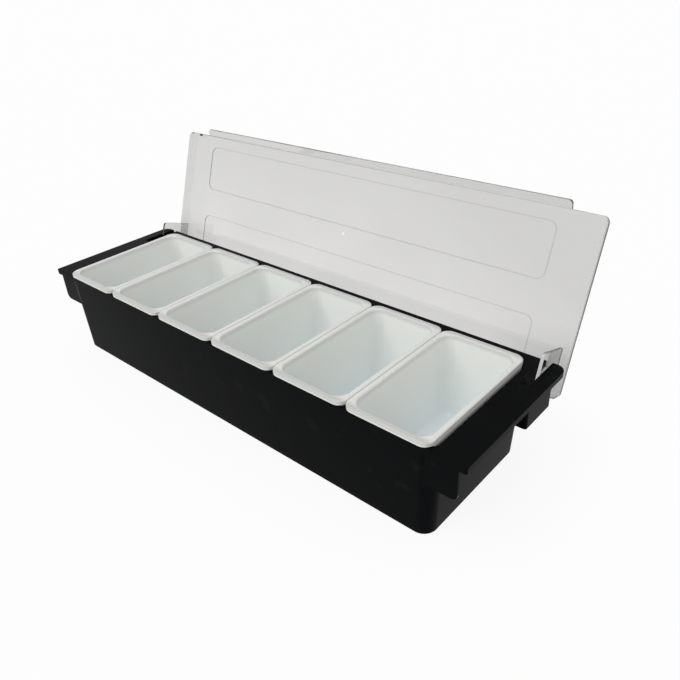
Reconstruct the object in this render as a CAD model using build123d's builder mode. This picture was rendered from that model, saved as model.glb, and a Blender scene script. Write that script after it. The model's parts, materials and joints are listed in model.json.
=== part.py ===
from build123d import *

import os
from math import asin, cos, degrees, hypot, radians, sin

# Condiment caddy: a black tray, lift-out white inserts and one clear lid hinged along the back.
# Millimetres. X runs along the tray, +Y to the back, +Z up. The origin is the centre of the foot.
# The lid is drawn open, back on its stops, as the caddy stands when it is in use.

os.makedirs("parts", exist_ok=True)

# --- inserts ---
insert_count = 6
insert_pitch = 73.2  # centre to centre along the tray
insert_gap = 0.4  # between the lips of two neighbours
insert_lip_depth = 131.0  # front to back over the lip
insert_lip_height = 3.9  # lip above the rim of the tray
insert_side_lip = 3.3  # wall to lip edge, at the sides
insert_end_lip = 3.7  # wall to lip edge, at front and back
insert_lip_corner = 8.0
insert_wall = 1.5
insert_draft = 2.0  # degrees
insert_corner = 10.0  # inside, at the mouth
insert_floor_round = 8.0  # inside, along the floor
insert_lip_round = 1.2
insert_mouth_round = 1.8
insert_side_skirt = 8.0  # below the lip's top, at the sides
insert_skirt_corner = 6.0
insert_foot_gap = 1.6  # above the floor of the tray

# --- tray ---
tray_height = 81.0
tray_wall = 2.4
tray_floor = 2.4
tray_corner = 9.0  # inside, at the mouth
end_lean = 3.8  # how far each wall leans out from foot to rim
front_lean = 0.8
back_lean = 3.4
end_gap = 1.9  # end insert's place to the end of the mouth
lip_bearing = 3.1  # width of lip over the rim, front and back
foot_round = 1.2
rim_thickness = 2.6
rim_round = 0.6
back_rim = 10.7  # back wall to the rim's back edge
shelf_reach = 23.6  # end wall to the shelf's outer edge
edge_lip_depth = 5.0
edge_lip_wall = 2.4
shelf_front_corner = 2.0
shelf_back_corner = 8.0

# --- webs and hinge pockets under the shelves ---
web_drop = 32.0  # below the top of the shelf
web_wall = 2.4
web_setback = 1.2  # behind the tray's front face
web_inset = 6.1  # in from the shelf's outer edge
web_corner = 5.0
pocket_length = 36.6
pocket_corner = 2.0

# --- hinge ---
hinge_inset = 9.7  # in from the rim's back edge
hinge_drop = 17.4  # below the top of the shelf
stub_radius = 3.5
stub_clearance = 0.06
stub_end_gap = 0.3
cheek_wall = 2.6
cheek_gap = 2.6  # cheek to ear
boss_radius = 8.0
boss_length = 4.6
slot_front_gap = 0.7
slot_side_gap = 1.6  # outside of the ear
stop_reach = 14.0  # hinge axis to the stop peg
stop_radius = 1.75
stop_gap = 0.3  # under the shelf, with the lid open
stop_end_gap = 0.6
open_angle = 109.0  # degrees from shut

# --- lid ---
lid_wall = 2.2
lid_skirt = 7.0
lid_corner = 5.5
lid_round = 0.8
lid_end_inset = 5.9  # in from the shelves' outer edges
lid_front_cover = 0.1  # in front of the inserts' lips
lid_back_gap = 0.7  # rim's back edge to the back skirt
lid_seat_gap = 0.3  # side skirts above the shelves, shut
lip_clearance = 0.4  # front skirt above the inserts' lips, shut
swing_clearance = 0.4  # side skirts past the shelves' back edge
front_notch_gap = 2.0  # shallow stretch of the front skirt past the mouth
finger_lip_length = 424.0
finger_lip_reach = 7.6
finger_lip_bend = 25.0  # degrees
finger_lip_corner = 3.0
panel_length = 408.0
panel_depth = 45.8
panel_corner = 7.0
panel_rise = 0.4
front_panel_back = 11.5  # from the lid's free edge
back_panel_back = 87.0
gate_back = 65.0
gate_radius = 1.5
gate_height = 0.3
ear_offset = 7.6  # tray's end wall to the ear
ear_wall = 2.5
ear_ahead = 27.9  # in front of the hinge axis, shut
ear_behind = 7.6
ear_below = 12.0
ear_toe_round = 3.0
ear_heel_round = 6.0

# --- worked out from the above ---
mouth_length = insert_count * insert_pitch + 2 * end_gap
mouth_depth = insert_lip_depth - 2 * lip_bearing
top_length = mouth_length + 2 * tray_wall
top_depth = mouth_depth + 2 * tray_wall
top_corner = tray_corner + tray_wall
foot_length = top_length - 2 * end_lean
foot_depth = top_depth - front_lean - back_lean
mid_y = (back_lean - front_lean) / 2  # middle of the mouth
end_x = top_length / 2
front_y = mid_y - top_depth / 2
back_y = mid_y + top_depth / 2
rim_back_y = back_y + back_rim
rim_mid_y = (front_y + rim_back_y) / 2
rim_depth = rim_back_y - front_y
rim_under = tray_height - rim_thickness
shelf_x = end_x + shelf_reach
lip_top = tray_height + insert_lip_height
floor_share = tray_floor / tray_height

web_x = shelf_x - web_inset
web_root_x = end_x - end_lean - top_corner
web_bottom = tray_height - web_drop
web_top = tray_height - rim_thickness / 2
web_height = web_top - web_bottom
web_mid_z = (web_bottom + web_top) / 2
pocket_root_x = end_x - end_lean
pocket_front_y = back_y - pocket_length

hinge_y = rim_back_y - hinge_inset
hinge_z = tray_height - hinge_drop
ear_x = end_x + ear_offset
cheek_x = ear_x - cheek_gap
cheek_foot_y = hinge_y - boss_radius
cheek_back_y = hinge_y + boss_radius
slot_x = ear_x + ear_wall + slot_side_gap
slot_front_y = hinge_y - ear_ahead - slot_front_gap

lid_x = shelf_x - lid_end_inset
lid_near = mid_y - insert_lip_depth / 2 - lid_front_cover - hinge_y  # from the hinge axis, shut
lid_far = rim_back_y + lid_back_gap + lid_wall - hinge_y
lid_mid = (lid_near + lid_far) / 2
lid_depth = lid_far - lid_near
lid_top = hinge_drop + lid_seat_gap + lid_skirt  # above the hinge axis, shut
lid_under = lid_top - lid_wall
front_skirt = lid_top - hinge_drop - insert_lip_height - lip_clearance
arch_radius = hypot(hinge_inset, hinge_drop) + swing_clearance
ear_top = lid_top - lid_wall / 2

# The lid is drawn in a plane on the hinge axis: x along the tray, y from the free edge to the
# back edge, z out of the lid's top. Shut, they lie along the tray's own axes.
lid_plane = Plane(origin=(0, hinge_y, hinge_z)).rotated((-open_angle, 0, 0))


def across(plane, x):
    """The plane square to the tray at x, with the given plane's y to the right and its z upwards."""
    return Plane(origin=plane.from_local_coords((x, 0, 0)), x_dir=plane.y_dir, z_dir=plane.x_dir)


# --- tray: drafted box with a rim flange, and a shelf, web, slot and hinge pocket at each end ---
with BuildPart() as cavity:
    with BuildSketch(Plane((0, floor_share * mid_y, tray_floor))):
        RectangleRounded(
            foot_length + floor_share * (top_length - foot_length) - 2 * tray_wall,
            foot_depth + floor_share * (top_depth - foot_depth) - 2 * tray_wall,
            tray_corner,
        )
    with BuildSketch(Plane((0, mid_y, tray_height))):
        RectangleRounded(mouth_length, mouth_depth, tray_corner)
    loft(ruled=True)

with BuildPart() as end_walls:
    # web across the front of the right shelf
    with BuildSketch(Plane.XZ.offset(-front_y - web_setback)) as web:
        with Locations(((web_root_x + web_x) / 2, web_mid_z)):
            Rectangle(web_x - web_root_x, web_height)
        fillet(web.vertices().group_by(Axis.Y)[0].sort_by(Axis.X)[-1], web_corner)
    extrude(amount=-web_wall)

    # hinge pocket under its back: front wall and outer wall
    with BuildSketch(Plane.XY.offset(web_bottom)) as pocket:
        with Locations(((pocket_root_x + web_x) / 2, back_y - pocket_length / 2)):
            Rectangle(web_x - pocket_root_x, pocket_length)
        fillet(pocket.vertices().group_by(Axis.Y)[0].sort_by(Axis.X)[-1], pocket_corner)
        with Locations(((pocket_root_x + web_x) / 2 - web_wall, back_y - pocket_length / 2 + web_wall)):
            Rectangle(web_x - pocket_root_x, pocket_length, mode=Mode.SUBTRACT)
    extrude(amount=web_height)

    # cheek and boss, with the bore for the lid's stub
    with BuildSketch(across(Plane.XY, cheek_x)):
        with Locations((hinge_y, hinge_z)):
            Circle(boss_radius)
        with Locations(((pocket_front_y + cheek_foot_y) / 2, web_mid_z)):
            Rectangle(cheek_foot_y - pocket_front_y, web_height)
        with Locations(((pocket_front_y + cheek_back_y) / 2, (hinge_z + web_top) / 2)):
            Rectangle(cheek_back_y - pocket_front_y, web_top - hinge_z)
        make_hull()
    extrude(amount=-cheek_wall)
    with BuildSketch(across(Plane.XY, cheek_x)):
        with Locations((hinge_y, hinge_z)):
            Circle(boss_radius)
    extrude(amount=-boss_length)
    with BuildSketch(across(Plane.XY, cheek_x)):
        with Locations((hinge_y, hinge_z)):
            Circle(stub_radius + stub_clearance)
    extrude(amount=-boss_length, mode=Mode.SUBTRACT)

with BuildPart() as tray:
    with BuildSketch(Plane((0, rim_mid_y, tray_height))) as flange:
        Rectangle(2 * shelf_x, rim_depth)
        fillet(flange.vertices().group_by(Axis.Y)[0], shelf_front_corner)
        fillet(flange.vertices().group_by(Axis.Y)[-1], shelf_back_corner)
    extrude(amount=-edge_lip_depth)
    with BuildSketch(Plane((0, rim_mid_y, rim_under))) as underside:
        Rectangle(2 * (shelf_x - edge_lip_wall), rim_depth - 2 * edge_lip_wall)
        fillet(underside.vertices().group_by(Axis.Y)[-1], shelf_back_corner - edge_lip_wall)
    extrude(amount=-edge_lip_depth, mode=Mode.SUBTRACT)

    # box
    with BuildSketch(Plane.XY):
        RectangleRounded(foot_length, foot_depth, top_corner)
    with BuildSketch(Plane((0, mid_y, tray_height))):
        RectangleRounded(top_length, top_depth, top_corner)
    loft(ruled=True)
    fillet(tray.faces().sort_by(Axis.Z)[0].edges(), foot_round)

    add(end_walls.part)
    mirror(end_walls.part, about=Plane.YZ)
    add(cavity.part, mode=Mode.SUBTRACT)

    # slots that the lid's ears hang through, open at the back
    with BuildSketch(Plane.XY.offset(tray_height)):
        for side in (-1, 1):
            with Locations((side * (cheek_x + slot_x) / 2, (slot_front_y + rim_back_y) / 2)):
                Rectangle(slot_x - cheek_x, rim_back_y - slot_front_y)
    extrude(amount=-edge_lip_depth, mode=Mode.SUBTRACT)
    fillet(tray.faces().sort_by(Axis.Z)[-1].edges(), rim_round)

tray.part.label = "tray"
export_step(tray.part, "parts/tray.step")


# --- inserts: drafted tubs whose turned-down lips rest on the front and back rims ---
lip_length = insert_pitch - insert_gap
tub_length = lip_length - 2 * insert_side_lip
tub_depth = insert_lip_depth - 2 * insert_end_lip
tub_height = lip_top - tray_floor - insert_foot_gap
skirt_depth = tub_depth - insert_wall

for place in range(insert_count):
    insert_x = (place - (insert_count - 1) / 2) * insert_pitch
    mouth_plane = Plane((insert_x, mid_y, lip_top))

    with BuildPart() as hollow:
        with BuildSketch(mouth_plane):
            RectangleRounded(tub_length - 2 * insert_wall, tub_depth - 2 * insert_wall, insert_corner)
        extrude(amount=-(tub_height - insert_wall), taper=insert_draft)
        fillet(hollow.faces().sort_by(Axis.Z)[0].edges(), insert_floor_round)

    with BuildPart() as insert:
        with BuildSketch(mouth_plane):
            RectangleRounded(lip_length, insert_lip_depth, insert_lip_corner)
        extrude(amount=-insert_lip_height)
        fillet(insert.faces().sort_by(Axis.Z)[-1].edges(), insert_lip_round)
        with BuildSketch(mouth_plane.offset(-insert_lip_height)):
            RectangleRounded(
                lip_length - 2 * insert_wall,
                insert_lip_depth - 2 * insert_wall,
                insert_lip_corner - insert_wall,
            )
        extrude(amount=insert_lip_height - insert_wall, mode=Mode.SUBTRACT)

        # at the sides the lip's skirt hangs on down, into the mouth of the tray
        with BuildSketch(mouth_plane.offset(-insert_side_skirt)):
            RectangleRounded(lip_length, skirt_depth, insert_skirt_corner)
            RectangleRounded(
                lip_length - 2 * insert_wall,
                skirt_depth - 2 * insert_wall,
                insert_skirt_corner - insert_wall,
                mode=Mode.SUBTRACT,
            )
        extrude(amount=insert_side_skirt - insert_wall)

        # tub
        with BuildSketch(mouth_plane):
            RectangleRounded(tub_length, tub_depth, insert_corner + insert_wall)
        extrude(amount=-tub_height, taper=insert_draft)
        fillet(insert.faces().sort_by(Axis.Z)[0].edges(), insert_floor_round + insert_wall)
        add(hollow.part, mode=Mode.SUBTRACT)
        fillet(insert.faces().sort_by(Axis.Z)[-1].inner_wires()[0].edges(), insert_mouth_round)

    insert.part.label = f"insert_{place + 1}"
    export_step(insert.part, f"parts/insert_{place + 1}.step")


# --- lid: plate with a skirt, two raised panels, a finger lip, and an ear at each end ---
with BuildPart() as lid:
    with BuildSketch(lid_plane.offset(lid_top)):
        with Locations((0, lid_mid)):
            RectangleRounded(2 * lid_x, lid_depth, lid_corner)
    extrude(amount=-lid_skirt)
    fillet(lid.faces().sort_by(Axis(lid_plane.origin, lid_plane.z_dir))[-1].edges(), lid_round)
    with BuildSketch(lid_plane.offset(lid_under)):
        with Locations((0, lid_mid)):
            RectangleRounded(2 * (lid_x - lid_wall), lid_depth - 2 * lid_wall, lid_corner - lid_wall)
    extrude(amount=-lid_skirt, mode=Mode.SUBTRACT)

    # the front skirt is shallow where it passes over the inserts' lips
    with BuildSketch(lid_plane.offset(lid_top - front_skirt)):
        with Locations((0, lid_near + lid_wall / 2)):
            Rectangle(mouth_length + 2 * front_notch_gap, lid_wall)
    extrude(amount=-lid_skirt, mode=Mode.SUBTRACT)

    # over the hinge axis the side skirts are arched, clear of the shelves as the lid swings
    with BuildSketch(across(lid_plane, 0)):
        Circle(arch_radius)
    extrude(amount=lid_x, both=True, mode=Mode.SUBTRACT)

    # raised panels, hollow underneath
    panel_places = [
        (0, lid_near + front_panel_back + panel_depth / 2),
        (0, lid_near + back_panel_back + panel_depth / 2),
    ]
    with BuildSketch(lid_plane.offset(lid_top)):
        with Locations(panel_places):
            RectangleRounded(panel_length, panel_depth, panel_corner)
    extrude(amount=panel_rise)
    with BuildSketch(lid_plane.offset(lid_under)):
        with Locations(panel_places):
            RectangleRounded(panel_length, panel_depth, panel_corner)
    extrude(amount=panel_rise, mode=Mode.SUBTRACT)

    # moulding gate mark
    with BuildSketch(lid_plane.offset(lid_top)):
        with Locations((0, lid_near + gate_back)):
            Circle(gate_radius)
    extrude(amount=gate_height)

    # finger lip along the free edge
    fold = Plane(
        origin=lid_plane.from_local_coords((0, lid_near, lid_top)),
        x_dir=lid_plane.x_dir,
        z_dir=lid_plane.z_dir,
    )
    with BuildSketch(fold.rotated((finger_lip_bend, 0, 0))) as finger_lip:
        with Locations((0, -finger_lip_reach / 2)):
            Rectangle(finger_lip_length, finger_lip_reach)
        fillet(finger_lip.vertices().group_by(Axis.Y)[0], finger_lip_corner)
    extrude(amount=-lid_wall)

    for side in (-1, 1):
        # ear
        with BuildSketch(across(lid_plane, side * ear_x)) as ear:
            with Locations(((ear_behind - ear_ahead) / 2, (ear_top - ear_below) / 2)):
                Rectangle(ear_ahead + ear_behind, ear_top + ear_below)
            low_corners = ear.vertices().group_by(Axis.Y)[0].sort_by(Axis.X)
            fillet(low_corners[0], ear_toe_round)
            fillet(low_corners[-1], ear_heel_round)
        extrude(amount=side * ear_wall)
        # stub that turns in the cheek's bore
        with BuildSketch(across(lid_plane, side * ear_x)):
            Circle(stub_radius)
        extrude(amount=-side * (cheek_gap + boss_length - stub_end_gap))
        # peg that comes up under the shelf when the lid is open
        stop_rise = rim_under - stop_gap - stop_radius - hinge_z
        stop_turn = 180 - degrees(asin(stop_rise / stop_reach)) + open_angle
        with BuildSketch(across(lid_plane, side * (ear_x + ear_wall))):
            with Locations((stop_reach * cos(radians(stop_turn)), stop_reach * sin(radians(stop_turn)))):
                Circle(stop_radius)
        extrude(amount=side * (web_x - web_wall - stop_end_gap - ear_x - ear_wall))

lid.part.label = "lid"
export_step(lid.part, "parts/lid.step")
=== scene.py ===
import json
from math import cos, pi, radians, sin

import bmesh
import bpy
from mathutils import Matrix, Vector


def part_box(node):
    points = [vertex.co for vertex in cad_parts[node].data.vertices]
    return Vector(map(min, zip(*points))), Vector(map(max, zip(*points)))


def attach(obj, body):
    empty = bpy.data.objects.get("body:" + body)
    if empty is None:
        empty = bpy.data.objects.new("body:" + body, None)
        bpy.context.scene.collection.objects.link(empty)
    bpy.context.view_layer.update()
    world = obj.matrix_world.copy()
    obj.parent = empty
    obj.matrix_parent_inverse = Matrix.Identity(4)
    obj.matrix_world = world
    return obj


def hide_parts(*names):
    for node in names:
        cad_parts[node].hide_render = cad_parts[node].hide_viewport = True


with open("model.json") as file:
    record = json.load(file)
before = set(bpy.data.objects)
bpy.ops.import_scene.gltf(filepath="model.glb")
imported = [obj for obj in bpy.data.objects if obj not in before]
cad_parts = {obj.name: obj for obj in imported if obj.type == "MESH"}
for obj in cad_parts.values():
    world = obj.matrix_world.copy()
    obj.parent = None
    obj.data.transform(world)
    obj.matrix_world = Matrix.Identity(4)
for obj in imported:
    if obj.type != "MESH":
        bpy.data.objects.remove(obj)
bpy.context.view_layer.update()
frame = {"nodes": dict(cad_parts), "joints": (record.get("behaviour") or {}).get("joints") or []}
scene = bpy.context.scene  # lengths are in metres all through
print("frame loaded:", ", ".join(sorted(frame["nodes"])))


# helpers for node trees
def addNode(tree, kind, spot=(0, 0), **settings):
    node = tree.nodes.new(kind)
    node.location = spot
    for name, value in settings.items():
        setattr(node, name, value)
    return node


def feed(tree, socket, value):
    # a socket gets a wire, anything else is typed into it
    if isinstance(value, bpy.types.NodeSocket):
        tree.links.new(value, socket)
    else:
        socket.default_value = value


def calc(tree, operation, a, b=0.0, clamp=False):
    node = addNode(tree, "ShaderNodeMath", operation=operation, use_clamp=clamp)
    feed(tree, node.inputs[0], a)
    feed(tree, node.inputs[1], b)
    return node.outputs[0]


def arithmetic(tree):
    # short names for the four sums, for a tree that takes many of them
    def kind(operation):
        return lambda a, b: calc(tree, operation, a, b)

    return kind("ADD"), kind("SUBTRACT"), kind("MULTIPLY"), kind("DIVIDE")


def spread(tree, value, fromLow, fromHigh, toLow=0.0, toHigh=1.0):
    node = addNode(tree, "ShaderNodeMapRange")
    feed(tree, node.inputs["Value"], value)
    feed(tree, node.inputs["From Min"], fromLow)
    feed(tree, node.inputs["From Max"], fromHigh)
    feed(tree, node.inputs["To Min"], toLow)
    feed(tree, node.inputs["To Max"], toHigh)
    return node.outputs["Result"]


def blendColours(tree, amount, first, second):
    node = addNode(tree, "ShaderNodeMix", data_type="RGBA", blend_type="MIX")
    feed(tree, node.inputs["Factor"], amount)
    feed(tree, node.inputs[6], first)  # sockets 6 and 7 are the two colours
    feed(tree, node.inputs[7], second)
    return node.outputs[2]


def addNoise(tree, vector, scale, detail):
    node = addNode(tree, "ShaderNodeTexNoise")
    feed(tree, node.inputs["Vector"], vector)
    feed(tree, node.inputs["Scale"], scale)
    feed(tree, node.inputs["Detail"], detail)
    return node.outputs["Fac"]


def splitPlace(tree, place):
    node = addNode(tree, "ShaderNodeSeparateXYZ")
    feed(tree, node.inputs[0], place)
    return node.outputs


def joinPlace(tree, x, y, z):
    node = addNode(tree, "ShaderNodeCombineXYZ")
    for socket, value in zip(node.inputs, (x, y, z)):
        feed(tree, socket, value)
    return node.outputs[0]


def newGroup(name, inputs, outputs, kind="ShaderNodeTree"):
    tree = bpy.data.node_groups.new(name, kind)
    for label, socketType, value in inputs:
        socket = tree.interface.new_socket(name=label, in_out="INPUT", socket_type=socketType)
        if value is not None:
            socket.default_value = value
    for label, socketType in outputs:
        tree.interface.new_socket(name=label, in_out="OUTPUT", socket_type=socketType)
    given = addNode(tree, "NodeGroupInput", spot=(-900, 0))
    out = addNode(tree, "NodeGroupOutput", spot=(900, 0))
    return tree, given, out


# effects that all three plastics share
moulding = {"waveDetail": 1.5, "pebbleDetail": 3.0}


def buildMouldSkin():
    # the faint waviness and fine pebble that an injection mould leaves on a gloss surface
    tree, given, out = newGroup(
        "mouldSkin",
        [
            ("Vector", "NodeSocketVector", None),
            ("Wave Size", "NodeSocketFloat", 18.0),
            ("Pebble Size", "NodeSocketFloat", 420.0),
            ("Pebble Share", "NodeSocketFloat", 0.25),
        ],
        [("Height", "NodeSocketFloat"), ("Flow", "NodeSocketFloat")],
    )
    vector = given.outputs["Vector"]
    wave = addNoise(tree, vector, given.outputs["Wave Size"], moulding["waveDetail"])
    pebble = addNoise(tree, vector, given.outputs["Pebble Size"], moulding["pebbleDetail"])
    small = calc(tree, "MULTIPLY", pebble, given.outputs["Pebble Share"])
    feed(tree, out.inputs["Height"], calc(tree, "ADD", wave, small))
    feed(tree, out.inputs["Flow"], wave)
    return tree


wiping = {
    "runs": ((0.4, 26.0), (1.7, 20.0), (2.6, 31.0)),  # each way's turn, and how thin its lines are
    "tilt": (1.0, 0.7, 1.3),
    "lineScale": 46.0,
    "lineDetail": 2.0,
    "lineFrom": (0.66, 0.74),
    "patchDetail": 4.0,
    "patchFrom": (0.42, 0.68),
}


def buildHandlingWear():
    # fine wipe scratches, running three ways, gathered in patches where hands and cloths go
    tree, given, out = newGroup(
        "handlingWear",
        [
            ("Vector", "NodeSocketVector", None),
            ("Amount", "NodeSocketFloat", 0.5),
            ("Patch Size", "NodeSocketFloat", 9.0),
        ],
        [("Scratches", "NodeSocketFloat"), ("Smudge", "NodeSocketFloat")],
    )
    vector = given.outputs["Vector"]
    amount = given.outputs["Amount"]
    lines = 0.0
    for turn, squeeze in wiping["runs"]:
        place = addNode(tree, "ShaderNodeMapping")
        feed(tree, place.inputs["Vector"], vector)
        feed(tree, place.inputs["Rotation"], tuple(turn * share for share in wiping["tilt"]))
        feed(tree, place.inputs["Scale"], (1.0, squeeze, 1.0))
        streak = addNoise(tree, place.outputs["Vector"], wiping["lineScale"], wiping["lineDetail"])
        lines = calc(tree, "MAXIMUM", lines, spread(tree, streak, *wiping["lineFrom"]))
    patches = addNoise(tree, vector, given.outputs["Patch Size"], wiping["patchDetail"])
    where = spread(tree, patches, *wiping["patchFrom"])
    scratches = calc(tree, "MULTIPLY", calc(tree, "MULTIPLY", lines, where), amount)
    feed(tree, out.inputs["Scratches"], scratches)
    feed(tree, out.inputs["Smudge"], calc(tree, "MULTIPLY", where, amount))
    return tree


mouldSkin = buildMouldSkin()
handlingWear = buildHandlingWear()
flowRange = (0.3, 0.7)  # nearly all of the waviness lies between these


# helpers for materials
def startMaterial(name):
    material = bpy.data.materials.new(name)
    material.use_nodes = True
    tree = material.node_tree
    tree.nodes.clear()
    out = addNode(tree, "ShaderNodeOutputMaterial", spot=(900, 0))
    shader = addNode(tree, "ShaderNodeBsdfPrincipled", spot=(600, 0))
    tree.links.new(shader.outputs["BSDF"], out.inputs["Surface"])
    place = addNode(tree, "ShaderNodeTexCoord", spot=(-900, 0)).outputs["Object"]
    return material, tree, shader, place


def useGroup(tree, group, place, values):
    node = addNode(tree, "ShaderNodeGroup", node_tree=group)
    feed(tree, node.inputs["Vector"], place)
    for name, value in values.items():
        feed(tree, node.inputs[name], value)
    return node.outputs


def setRoughness(tree, shader, finish, flow, smudge, marks):
    # follows the mould's waviness, and is duller where hands and cloths have been
    base = spread(tree, flow, *flowRange, *finish["rough"])
    smudged = calc(tree, "ADD", base, calc(tree, "MULTIPLY", smudge, finish["smudgeRough"]))
    marked = calc(tree, "MULTIPLY", marks, finish["markRough"])
    feed(tree, shader.inputs["Roughness"], calc(tree, "ADD", smudged, marked, clamp=True))


def setBump(tree, shader, height, strength, distance):
    node = addNode(tree, "ShaderNodeBump")
    feed(tree, node.inputs["Strength"], strength)
    feed(tree, node.inputs["Distance"], distance)
    feed(tree, node.inputs["Height"], height)
    feed(tree, shader.inputs["Normal"], node.outputs["Normal"])


def mixShaders(tree, amount, first, second, out):
    mix = addNode(tree, "ShaderNodeMixShader", spot=(760, 100))
    feed(tree, mix.inputs[0], amount)
    tree.links.new(first.outputs[0], mix.inputs[1])
    tree.links.new(second.outputs[0], mix.inputs[2])
    tree.links.new(mix.outputs[0], out.inputs["Surface"])


# black tray plastic
blackGloss = {
    "colour": (0.0038, 0.0041, 0.0045, 1),
    "worn": (0.010, 0.010, 0.010, 1),
    "rough": (0.09, 0.17),
    "smudgeRough": 0.06,
    "markRough": 0.18,
    "specular": 0.013,
    "rubHeight": 0.006,
    "rubShare": 0.5,
    "skin": {"Wave Size": 16.0, "Pebble Size": 520.0, "Pebble Share": 0.12},
    "wear": {"Amount": 0.55, "Patch Size": 7.0},
    "bump": (0.25, 0.0004),
}


def makeBlackGloss():
    material, tree, shader, place = startMaterial("blackGlossPlastic")
    skin = useGroup(tree, mouldSkin, place, blackGloss["skin"])
    wear = useGroup(tree, handlingWear, place, blackGloss["wear"])
    # the foot and the lowest few millimetres are rubbed by the counter
    height = splitPlace(tree, place)["Z"]
    rub = spread(tree, height, 0.0, blackGloss["rubHeight"], 1.0, 0.0)
    rub = calc(tree, "MULTIPLY", rub, blackGloss["rubShare"])
    marks = calc(tree, "MAXIMUM", wear["Scratches"], rub, clamp=True)
    colour = blendColours(tree, marks, blackGloss["colour"], blackGloss["worn"])
    feed(tree, shader.inputs["Base Color"], colour)
    setRoughness(tree, shader, blackGloss, skin["Flow"], wear["Smudge"], marks)
    shader.inputs["Specular IOR Level"].default_value = blackGloss["specular"]
    setBump(tree, shader, skin["Height"], *blackGloss["bump"])
    return material


# white tub plastic
milkWhite = {
    "colour": (0.915, 0.925, 0.88, 1),
    # cooler, bluer colour of the painted shade down in the tub
    "paintedShade": (0.875, 0.925, 0.945, 1),
    # painted shade on the lips, the end lips darker still
    "sideLipShade": (0.74, 0.745, 0.715, 1),
    "endLipShade": (0.55, 0.555, 0.535, 1),
    "scratch": (0.62, 0.62, 0.60, 1),
    "scratchShare": 0.25,
    "rough": (0.14, 0.24),
    "smudgeRough": 0.08,
    "markRough": 0.0,
    "depth": (0.002, 0.0049),  # full painted shade this far over the foot, none this far under the top
    "cloud": (0.75, 1.0),
    "lipUnderTop": (0.0054, 0.0011),
    "rimFromEnd": (0.007, 0.003),  # where the tray's rims start, inwards from the lip's ends
    "skin": {"Wave Size": 22.0, "Pebble Size": 600.0, "Pebble Share": 0.15},
    "wear": {"Amount": 0.35, "Patch Size": 16.0},
    "bump": (0.2, 0.0004),
}


def makeMilkWhite():
    material, tree, shader, place = startMaterial("milkWhitePlastic")
    skin = useGroup(tree, mouldSkin, place, milkWhite["skin"])
    wear = useGroup(tree, handlingWear, place, milkWhite["wear"])
    spot = splitPlace(tree, place)
    low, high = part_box("insert_1")  # all six stand alike, front to back and in height
    # painted shade: the plastic turns cooler and bluer down in the tub, mottled by the mould's
    # clouds
    overFoot, underLip = milkWhite["depth"]
    deepShade = spread(tree, spot["Z"], low.z + overFoot, high.z - underLip, 1.0, 0.0)
    cloud = spread(tree, skin["Flow"], *flowRange, *milkWhite["cloud"])
    cloud = calc(tree, "MULTIPLY", cloud, deepShade)
    body = blendColours(tree, cloud, milkWhite["colour"], milkWhite["paintedShade"])
    # painted shade darkens the lip, the end lips most, where they lie on the tray's rims and let
    # the dark show through a little
    middle, halfDepth = (low.y + high.y) / 2, (high.y - low.y) / 2
    offMiddle = calc(tree, "ABSOLUTE", calc(tree, "SUBTRACT", spot["Y"], middle))
    onRim = spread(tree, offMiddle, *(halfDepth - inwards for inwards in milkWhite["rimFromEnd"]))
    lip = blendColours(tree, onRim, milkWhite["sideLipShade"], milkWhite["endLipShade"])
    onLip = spread(tree, spot["Z"], *(high.z - under for under in milkWhite["lipUnderTop"]))
    body = blendColours(tree, onLip, body, lip)
    marks = calc(tree, "MULTIPLY", wear["Scratches"], milkWhite["scratchShare"])
    feed(tree, shader.inputs["Base Color"], blendColours(tree, marks, body, milkWhite["scratch"]))
    setRoughness(tree, shader, milkWhite, skin["Flow"], wear["Smudge"], marks)
    setBump(tree, shader, skin["Height"], *milkWhite["bump"])
    return material


# clear lid plastic
clearPlastic = {
    # the lid's clear tone, and the greyer tone of its painted shade towards the free edge and the
    # right end
    "low": (0.755, 0.75, 0.738, 1),
    "high": (0.632, 0.628, 0.618, 1),
    "rise": (0.06, 0.185, 0.0, 0.85),  # from and to this height, and the share of high at each
    "side": (0.05, 0.24, 0.0, 0.6),  # the same, from the middle to the right end
    "cloud": (0.66, 0.655, 0.65, 1),
    "cloudScale": 11.0,
    "cloudDetail": 1.0,
    "cloudFrom": (0.45, 0.72, 0.0, 0.6),
    "scuffed": (0.60, 0.60, 0.59, 1),
    "scuffShare": 0.5,
    "rough": (0.02, 0.05),
    "smudgeRough": 0.05,
    "markRough": 0.2,
    "stepShade": (0.36, 0.36, 0.355, 1),
    "stepShadeShare": 0.28,
    # the painted highlight on the mould's gate
    "gate": (0.93, 0.93, 0.93, 1),
    "earShade": (0.30, 0.30, 0.305, 1),  # painted shade at the ears, by height and by how far out
    "earShadeHeight": (0.056, 0.100, 0.6, 0.0),
    "earShadeReach": (0.170, 0.236),
    "ior": 1.49,
    "shadow": (0.86, 0.865, 0.865, 1),  # light that the sheet lets through to what is behind
    "skin": {"Wave Size": 9.0, "Pebble Size": 300.0, "Pebble Share": 0.05},
    "wear": {"Amount": 0.5, "Patch Size": 8.0},
    "bump": (0.12, 0.0003),
}


# where the lid's plate gets its painted shade lines and painted gate highlight, placed from its
# hinge towards the free edge
plateMarks = {
    "centres": (-0.0970, -0.0215),  # of the two raised panels
    "halfLength": 0.204,
    "halfDepth": 0.0229,
    "corner": 0.007,
    "lineWidth": 0.0010,
    "gateSpot": -0.0664,
    "gateEdge": (0.0010, 0.0018),  # the gate's radius, and where its mark has faded out
}
lidHinge = next(joint for joint in frame["joints"] if joint["name"] == "lid_hinge")


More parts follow.
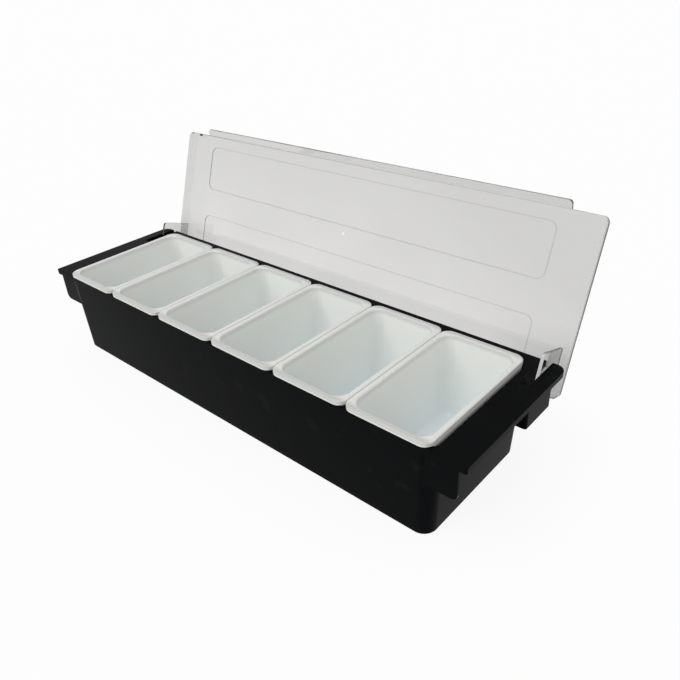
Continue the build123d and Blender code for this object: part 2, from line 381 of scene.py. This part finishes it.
def markPlate(tree, spot):
    # masks for the painted shade along the step round each panel, from the distance to a rounded
    # rectangle, and for the painted highlight on the mould's gate, a little round mark between the
    # panels
    plus, minus, times, _ = arithmetic(tree)

    def unsigned(a):
        return calc(tree, "ABSOLUTE", a)

    def distance(a, b):
        return calc(tree, "SQRT", plus(times(a, a), times(b, b)))

    _, axisY, axisZ = lidHinge["pos_m"]
    turn = radians(-lidHinge["range_deg"][0])  # the lid is drawn fully open
    back = times(minus(spot["Y"], axisY), cos(turn))
    down = times(minus(spot["Z"], axisZ), -sin(turn))
    onPlate = plus(back, down)
    corner = plateMarks["corner"]
    pastX = minus(unsigned(spot["X"]), plateMarks["halfLength"] - corner)
    lines = 0.0
    for centre in plateMarks["centres"]:
        pastY = minus(unsigned(minus(onPlate, centre)), plateMarks["halfDepth"] - corner)
        outX, outY = (calc(tree, "MAXIMUM", past, 0.0) for past in (pastX, pastY))
        within = calc(tree, "MINIMUM", calc(tree, "MAXIMUM", pastX, pastY), 0.0)
        offStep = unsigned(minus(plus(distance(outX, outY), within), corner))
        line = spread(tree, offStep, 0.0, plateMarks["lineWidth"], 1.0, 0.0)
        lines = calc(tree, "MAXIMUM", lines, line)
    offGate = distance(spot["X"], minus(onPlate, plateMarks["gateSpot"]))
    return lines, spread(tree, offGate, *plateMarks["gateEdge"], 1.0, 0.0)


def makeClearPlastic():
    material, tree, shader, place = startMaterial("clearLidPlastic")
    skin = useGroup(tree, mouldSkin, place, clearPlastic["skin"])
    wear = useGroup(tree, handlingWear, place, clearPlastic["wear"])
    # painted shade: greyer towards the free edge and the right end, with soft clouds of haze
    spot = splitPlace(tree, place)
    rise = spread(tree, spot["Z"], *clearPlastic["rise"])
    side = spread(tree, spot["X"], *clearPlastic["side"])
    shadeShare = calc(tree, "ADD", rise, side, clamp=True)
    tone = blendColours(tree, shadeShare, clearPlastic["low"], clearPlastic["high"])
    veil = addNoise(tree, place, clearPlastic["cloudScale"], clearPlastic["cloudDetail"])
    veil = spread(tree, veil, *clearPlastic["cloudFrom"])
    tone = blendColours(tree, veil, tone, clearPlastic["cloud"])
    steps, gate = markPlate(tree, spot)
    # painted shade along the panel steps
    steps = calc(tree, "MULTIPLY", steps, clearPlastic["stepShadeShare"])
    tone = blendColours(tree, steps, tone, clearPlastic["stepShade"])
    # painted highlight on the mould's gate
    tone = blendColours(tree, gate, tone, clearPlastic["gate"])
    # painted shade at the ears, darker low down and out towards each end
    reach = spread(tree, calc(tree, "ABSOLUTE", spot["X"]), *clearPlastic["earShadeReach"])
    earShade = calc(tree, "MULTIPLY", spread(tree, spot["Z"], *clearPlastic["earShadeHeight"]), reach)
    tone = blendColours(tree, earShade, tone, clearPlastic["earShade"])
    scuffs = calc(tree, "MULTIPLY", wear["Scratches"], clearPlastic["scuffShare"])
    tone = blendColours(tree, scuffs, tone, clearPlastic["scuffed"])
    feed(tree, shader.inputs["Base Color"], tone)
    setRoughness(tree, shader, clearPlastic, skin["Flow"], wear["Smudge"], wear["Scratches"])
    shader.inputs["Transmission Weight"].default_value = 1.0
    shader.inputs["IOR"].default_value = clearPlastic["ior"]
    setBump(tree, shader, skin["Height"], *clearPlastic["bump"])
    # light for the things behind passes straight through, as through a thin sheet
    through = addNode(tree, "ShaderNodeBsdfTransparent", spot=(600, -350))
    through.inputs["Color"].default_value = clearPlastic["shadow"]
    ray = addNode(tree, "ShaderNodeLightPath", spot=(600, 350))
    out = tree.nodes["Material Output"]
    mixShaders(tree, ray.outputs["Is Shadow Ray"], shader, through, out)
    return material


trayFinish = makeBlackGloss()
tubFinish = makeMilkWhite()
lidFinish = makeClearPlastic()
print("finishes made")


# tray and lid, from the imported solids
meshing = {
    "mergeDistance": 0.000002,
    "flatWithin": 0.2,  # this and the next two are angles in degrees
    "sharpFrom": 32,
    "tubSharpFrom": 40,
    "shadeWeight": 80,
}
trayEdge = {"width": 0.00025, "segments": 2, "angle": 40}
lidEdge = {"width": 0.0005, "segments": 3, "angle": 40}


def evenShading(piece):
    level = piece.modifiers.new("flatShading", "WEIGHTED_NORMAL")
    level.keep_sharp = True
    level.weight = meshing["shadeWeight"]


def cleanCopy(nodeName, pieceName, finish, edge):
    # merges the solid's loose triangles into clean faces, then softens every sharp edge
    mesh = frame["nodes"][nodeName].data.copy()
    mesh.name = pieceName
    while mesh.attributes.get("custom_normal"):
        mesh.attributes.remove(mesh.attributes["custom_normal"])
    work = bmesh.new()
    work.from_mesh(mesh)
    bmesh.ops.remove_doubles(work, verts=work.verts, dist=meshing["mergeDistance"])
    flat = radians(meshing["flatWithin"])
    bmesh.ops.dissolve_limit(work, angle_limit=flat, verts=work.verts, edges=work.edges)
    for face in work.faces:
        face.smooth = True
        face.material_index = 0
    work.to_mesh(mesh)
    work.free()
    mesh.materials.clear()
    mesh.materials.append(finish)
    mesh.set_sharp_from_angle(angle=radians(meshing["sharpFrom"]))
    piece = bpy.data.objects.new(pieceName, mesh)
    scene.collection.objects.link(piece)
    soften = piece.modifiers.new("softEdges", "BEVEL")
    soften.width = edge["width"]
    soften.segments = edge["segments"]
    soften.limit_method = "ANGLE"
    soften.angle_limit = radians(edge["angle"])
    soften.miter_outer = "MITER_ARC"
    evenShading(piece)
    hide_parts(nodeName)
    return piece


trayPiece = cleanCopy("tray", "trayShell", trayFinish, trayEdge)
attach(trayPiece, "tray")

lidPiece = cleanCopy("lid", "clearLid", lidFinish, lidEdge)
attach(lidPiece, "lid")
print("tray and lid in place")


# tubs
tub = {
    "Lip Height": 0.0039,
    "Side Lip": 0.0033,  # how far the lip stands out past the wall
    "End Lip": 0.0037,
    "Wall": 0.0015,
    "Draft": radians(2),
    "Mouth Corner": 0.010,  # corners as seen from above
    "Lip Corner": 0.008,
    "Floor Round": 0.008,  # rounds as seen in a cut from top to bottom
    "Lip Round": 0.0012,
    "Mouth Round": 0.0018,
    "Side Skirt": 0.008,
}
boxSizes = ("Lip Length", "Lip Depth", "Height")  # these come from each tub's own box
tubFine = {
    "cornerSteps": 10,
    "roundSteps": 6,
    "flatInset": 0.001,  # where the floor's and the foot's flats end, before their rounds
    "underLipRound": 0.0006,
    "skirtRoundIn": 0.0005,
    "skirtEdgeIn": 0.0002,
    "skirtEdgeOut": 0.0004,
    "leastCorner": 0.0004,
    "skirtReach": 0.0003,  # the skirt's foot is picked out by how far out and how low it is
    "skirtRise": 0.0008,
    "skirtEndGap": 0.0002,
    "skirtEndRun": 0.001,
}


def tubProfile(tree, size):
    # runs from the middle of the foot, round the lip, to the middle of the floor: x of a point is
    # how far it stands out from the mouth, y shrinks its ring, and z is its height over the lip's
    # top, which is below 0
    plus, minus, times, _ = arithmetic(tree)
    slope = calc(tree, "TANGENT", size["Draft"])
    lipOut = plus(size["Wall"], size["Side Lip"])
    lipIn = minus(lipOut, size["Wall"])
    footOut = minus(size["Wall"], times(size["Height"], slope))
    footRound = plus(size["Floor Round"], size["Wall"])
    footFlat = minus(minus(footOut, footRound), tubFine["flatInset"])
    inside = minus(size["Height"], size["Wall"])
    floorOut = times(times(inside, slope), -1)
    floorFlat = minus(minus(floorOut, size["Floor Round"]), tubFine["flatInset"])
    footZ = times(size["Height"], -1)
    floorZ = times(inside, -1)
    underLip = times(size["Wall"], -1)
    lipLow = times(size["Lip Height"], -1)
    corners = [  # x, y and z of each corner, and its round
        (footFlat, 0.0, footZ, 0.0),
        (footFlat, 1.0, footZ, 0.0),
        (footOut, 1.0, footZ, footRound),
        (size["Wall"], 1.0, underLip, tubFine["underLipRound"]),
        (lipIn, 1.0, underLip, tubFine["skirtRoundIn"]),
        (lipIn, 1.0, lipLow, tubFine["skirtEdgeIn"]),
        (lipOut, 1.0, lipLow, tubFine["skirtEdgeOut"]),
        (lipOut, 1.0, 0.0, size["Lip Round"]),
        (0.0, 1.0, 0.0, size["Mouth Round"]),
        (floorOut, 1.0, floorZ, size["Floor Round"]),
        (floorFlat, 1.0, floorZ, 0.0),
        (floorFlat, 0.0, floorZ, 0.0),
    ]
    rail = addNode(tree, "GeometryNodeMeshLine", count_mode="TOTAL")
    rail.inputs["Count"].default_value = len(corners)
    number = addNode(tree, "GeometryNodeInputIndex").outputs[0]
    spots = addNode(tree, "GeometryNodeIndexSwitch", data_type="VECTOR")
    rounds = addNode(tree, "GeometryNodeIndexSwitch", data_type="FLOAT")
    for switch in (spots, rounds):
        while len(switch.index_switch_items) < len(corners):
            switch.index_switch_items.new()
        tree.links.new(number, switch.inputs["Index"])
    for k, (*point, radius) in enumerate(corners):
        tree.links.new(joinPlace(tree, *point), spots.inputs[k + 1])
        feed(tree, rounds.inputs[k + 1], radius)
    shaped = addNode(tree, "GeometryNodeSetPosition")
    tree.links.new(rail.outputs["Mesh"], shaped.inputs["Geometry"])
    tree.links.new(spots.outputs[0], shaped.inputs["Position"])
    line = addNode(tree, "GeometryNodeMeshToCurve")
    tree.links.new(shaped.outputs["Geometry"], line.inputs["Mesh"])
    profile = addNode(tree, "GeometryNodeFilletCurve", mode="POLY")
    tree.links.new(line.outputs["Curve"], profile.inputs["Curve"])
    profile.inputs["Count"].default_value = tubFine["roundSteps"]
    tree.links.new(rounds.outputs[0], profile.inputs["Radius"])
    profile.inputs["Limit Radius"].default_value = True
    return profile.outputs["Curve"], (lipOut, lipIn, lipLow)


def tubGrid(tree, profile):
    # one row for each profile point, and columns that go once round the tub, a fan at each corner;
    # gives each grid point its profile point, its angle and the angle at its corner's middle
    plus, minus, times, over = arithmetic(tree)
    counted = addNode(tree, "GeometryNodeAttributeDomainSize", component="CURVE")
    tree.links.new(profile, counted.inputs["Geometry"])
    rows = counted.outputs["Point Count"]
    steps = tubFine["cornerSteps"]
    perCorner = float(steps + 1)
    around = 4 * (steps + 1)
    grid = addNode(tree, "GeometryNodeMeshGrid")
    grid.inputs["Vertices X"].default_value = around + 1
    tree.links.new(rows, grid.inputs["Vertices Y"])
    number = addNode(tree, "GeometryNodeInputIndex").outputs[0]
    column = calc(tree, "FLOOR", over(plus(number, 0.5), rows))
    row = minus(number, times(column, rows))
    column = calc(tree, "MODULO", column, float(around))
    quarter = calc(tree, "FLOOR", over(plus(column, 0.5), perCorner))
    along = over(minus(column, times(quarter, perCorner)), float(steps))
    angle = times(plus(quarter, along), pi / 2)
    middle = times(plus(quarter, 0.5), pi / 2)
    sample = addNode(tree, "GeometryNodeSampleIndex", data_type="FLOAT_VECTOR", domain="POINT")
    here = addNode(tree, "GeometryNodeInputPosition")
    tree.links.new(profile, sample.inputs["Geometry"])
    tree.links.new(here.outputs[0], sample.inputs["Value"])
    tree.links.new(row, sample.inputs["Index"])
    return grid.outputs["Mesh"], splitPlace(tree, sample.outputs[0]), angle, middle


def tubRing(tree, size, lip, point, angle, middle):
    # the rounded rectangle through a profile point, wider at the ends of the lip than at its sides
    plus, minus, times, over = arithmetic(tree)
    lipOut, lipIn, lipLow = lip
    away, shrink, z = point
    overWall = calc(tree, "MAXIMUM", minus(away, size["Wall"]), 0.0)
    stretch = over(minus(size["End Lip"], size["Side Lip"]), size["Side Lip"])
    halfX = plus(minus(times(size["Lip Length"], 0.5), lipOut), away)
    mouthY = minus(minus(times(size["Lip Depth"], 0.5), size["Wall"]), size["End Lip"])
    halfY = plus(plus(mouthY, away), times(overWall, stretch))
    tighten = minus(minus(size["Lip Corner"], size["Mouth Corner"]), size["Wall"])
    tighten = over(tighten, size["Side Lip"])
    corner = plus(size["Mouth Corner"], calc(tree, "MINIMUM", away, size["Wall"]))
    corner = plus(corner, times(overWall, tighten))
    corner = calc(tree, "MAXIMUM", corner, tubFine["leastCorner"])

    def ringSide(half, wave, middleWave):
        inner = times(calc(tree, "SIGN", middleWave), minus(half, corner))
        return times(plus(inner, times(corner, wave)), shrink)

    ringX = ringSide(halfX, calc(tree, "COSINE", angle), calc(tree, "COSINE", middle))
    ringY = ringSide(halfY, calc(tree, "SINE", angle), calc(tree, "SINE", middle))

    # the skirt hangs lower along the sides, as far as the lip's corners
    farOut = calc(tree, "GREATER_THAN", away, minus(lipIn, tubFine["skirtReach"]))
    farDown = calc(tree, "LESS_THAN", z, plus(lipLow, tubFine["skirtRise"]))
    cornerStart = minus(times(size["Lip Depth"], 0.5), size["Lip Corner"])
    cornerStart = plus(cornerStart, tubFine["skirtEndGap"])
    cornerEnd = plus(cornerStart, tubFine["skirtEndRun"])
    sides = spread(tree, calc(tree, "ABSOLUTE", ringY), cornerStart, cornerEnd, 1.0, 0.0)
    drop = minus(size["Side Skirt"], size["Lip Height"])
    lower = times(times(times(farOut, farDown), sides), drop)
    return joinPlace(tree, ringX, ringY, minus(z, lower))


def buildTubTree():
    inputs = [(name, "NodeSocketFloat", None) for name in boxSizes]
    inputs += [(name, "NodeSocketFloat", value) for name, value in tub.items()]
    inputs += [("Mouth Centre", "NodeSocketVector", None), ("Finish", "NodeSocketMaterial", None)]
    outputs = [("Geometry", "NodeSocketGeometry")]
    tree, given, out = newGroup("tubShape", inputs, outputs, "GeometryNodeTree")
    tree.is_modifier = True
    size = {name: given.outputs[name] for name in (*boxSizes, *tub)}
    profile, lip = tubProfile(tree, size)
    grid, point, angle, middle = tubGrid(tree, profile)
    placed = addNode(tree, "ShaderNodeVectorMath", operation="ADD")
    tree.links.new(tubRing(tree, size, lip, point, angle, middle), placed.inputs[0])
    tree.links.new(given.outputs["Mouth Centre"], placed.inputs[1])
    bent = addNode(tree, "GeometryNodeSetPosition")
    tree.links.new(grid, bent.inputs["Geometry"])
    tree.links.new(placed.outputs[0], bent.inputs["Position"])
    closed = addNode(tree, "GeometryNodeMergeByDistance")
    closed.inputs["Distance"].default_value = meshing["mergeDistance"]
    tree.links.new(bent.outputs["Geometry"], closed.inputs["Geometry"])
    real = addNode(tree, "GeometryNodeRealizeInstances")
    tree.links.new(closed.outputs["Geometry"], real.inputs["Geometry"])
    coat = addNode(tree, "GeometryNodeSetMaterial")
    tree.links.new(real.outputs["Geometry"], coat.inputs["Geometry"])
    tree.links.new(given.outputs["Finish"], coat.inputs["Material"])
    tree.links.new(coat.outputs["Geometry"], out.inputs["Geometry"])
    return tree


def setInput(modifier, name, value):
    for item in modifier.node_group.interface.items_tree:
        if item.item_type == "SOCKET" and item.in_out == "INPUT" and item.name == name:
            modifier[item.identifier] = value


tubTree = buildTubTree()


def makeTub(name):
    low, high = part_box(name)
    holder = bpy.data.objects.new(name + "Shape", bpy.data.meshes.new(name + "Shape"))
    scene.collection.objects.link(holder)
    shape = holder.modifiers.new("tubShape", "NODES")
    shape.node_group = tubTree
    for label, length in zip(boxSizes, high - low):
        setInput(shape, label, length)
    setInput(shape, "Mouth Centre", ((low.x + high.x) / 2, (low.y + high.y) / 2, high.z))
    setInput(shape, "Finish", tubFinish)
    bpy.context.view_layer.update()
    ready = holder.evaluated_get(bpy.context.evaluated_depsgraph_get())
    mesh = bpy.data.meshes.new_from_object(ready)
    holder.modifiers.remove(shape)
    bpy.data.objects.remove(holder)
    work = bmesh.new()
    work.from_mesh(mesh)
    bmesh.ops.recalc_face_normals(work, faces=work.faces)
    if work.calc_volume(signed=True) < 0:
        bmesh.ops.reverse_faces(work, faces=work.faces)
    for face in work.faces:
        face.smooth = True
    work.to_mesh(mesh)
    work.free()
    mesh.set_sharp_from_angle(angle=radians(meshing["tubSharpFrom"]))
    piece = bpy.data.objects.new(name.replace("insert", "whiteTub"), mesh)
    scene.collection.objects.link(piece)
    evenShading(piece)
    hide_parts(name)
    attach(piece, name)
    return piece


tubNames = sorted(name for name in frame["nodes"] if name.startswith("insert"))
tubs = [makeTub(name) for name in tubNames]
print("tubs made:", len(tubs), "with", len(tubs[0].data.polygons), "faces each")


# floor, light and camera
studio = {
    "floorSize": 60.0,
    "floorColour": (0.92, 0.92, 0.92, 1),
    "floorWarm": 0.99,
    "floorGrain": 3.0,
    "floorDetail": 2.0,
    "floorRough": 0.9,
    "floorSpecular": 0.1,
    "floorWhite": 0.90,
    "white": (1, 1, 1, 1),
    "skyStrength": 0.66,
    "sunSpot": (-0.35, -1.5, 1.9),
    "sunStrength": 1.15,
    "sunSoftness": 50,
}


def seenDirectly(tree):
    # rays that show the background: to the eye, in the gloss and through the lid
    ray = addNode(tree, "ShaderNodeLightPath", spot=(300, 350))
    seen = calc(tree, "MAXIMUM", ray.outputs["Is Camera Ray"], ray.outputs["Is Transmission Ray"])
    return calc(tree, "MAXIMUM", seen, ray.outputs["Is Glossy Ray"])


def makeFloor():
    half = studio["floorSize"] / 2
    mesh = bpy.data.meshes.new("floor")
    corners = [(-half, -half, 0), (half, -half, 0), (half, half, 0), (-half, half, 0)]
    mesh.from_pydata(corners, [], [(0, 1, 2, 3)])
    floor = bpy.data.objects.new("floor", mesh)
    scene.collection.objects.link(floor)
    material, tree, shader, place = startMaterial("paleFloor")
    grain = addNoise(tree, place, studio["floorGrain"], studio["floorDetail"])
    grain = spread(tree, grain, *flowRange)
    red, green, blue = (part * studio["floorWarm"] for part in studio["floorColour"][:3])
    tone = blendColours(tree, grain, studio["floorColour"], (red, green, blue, 1))
    feed(tree, shader.inputs["Base Color"], tone)
    shader.inputs["Roughness"].default_value = studio["floorRough"]
    shader.inputs["Specular IOR Level"].default_value = studio["floorSpecular"]
    # mostly plain white where it is seen, with the shadow still showing a little
    white = addNode(tree, "ShaderNodeEmission", spot=(600, -350))
    white.inputs["Strength"].default_value = 1.0
    share = calc(tree, "MULTIPLY", seenDirectly(tree), studio["floorWhite"])
    mixShaders(tree, share, shader, white, tree.nodes["Material Output"])
    mesh.materials.append(material)


def makeSky():
    world = bpy.data.worlds.new("studioSky")
    scene.world = world
    world.use_nodes = True
    tree = world.node_tree
    tree.nodes.clear()
    out = addNode(tree, "ShaderNodeOutputWorld")
    lit = addNode(tree, "ShaderNodeBackground")
    seen = addNode(tree, "ShaderNodeBackground")
    for sky, strength in ((lit, studio["skyStrength"]), (seen, 1.0)):
        sky.inputs["Color"].default_value = studio["white"]
        sky.inputs["Strength"].default_value = strength
    mixShaders(tree, seenDirectly(tree), lit, seen, out)


def makeSun():
    data = bpy.data.lights.new("softSun", "SUN")
    data.energy = studio["sunStrength"]
    data.angle = radians(studio["sunSoftness"])
    sun = bpy.data.objects.new("softSun", data)
    sun.location = studio["sunSpot"]
    towardsObject = -Vector(studio["sunSpot"])
    sun.rotation_euler = towardsObject.to_track_quat("-Z", "Y").to_euler()
    scene.collection.objects.link(sun)


# place and turn of the photograph's camera, its lens in pixels, and the photograph's width
view = {
    "spot": (0.39870, -0.33517, 0.35997),
    "yaw": 42.66,
    "pitch": -31.07,
    "roll": -3.10,
    "pixels": 660.98,
    "frame": 680,
    "sensor": 36.0,
    "clip": (0.01, 200),
}


def makeCamera():
    yaw, pitch, roll = (radians(view[name]) for name in ("yaw", "pitch", "roll"))
    ahead = Vector((-sin(yaw) * cos(pitch), cos(yaw) * cos(pitch), sin(pitch)))
    right = Vector((cos(yaw), sin(yaw), 0))
    up = right.cross(ahead)
    across = right * cos(roll) + up * sin(roll)
    upward = up * cos(roll) - right * sin(roll)
    data = bpy.data.cameras.new("camera")
    data.sensor_width = view["sensor"]
    data.lens = view["pixels"] / view["frame"] * data.sensor_width
    data.clip_start, data.clip_end = view["clip"]
    camera = bpy.data.objects.new("camera", data)
    turn = Matrix((across, upward, -ahead)).transposed()
    camera.matrix_world = Matrix.Translation(view["spot"]) @ turn.to_4x4()
    scene.collection.objects.link(camera)
    scene.camera = camera


makeFloor()
makeSky()
makeSun()
makeCamera()
scene.view_settings.view_transform = "Standard"
print("studio ready")
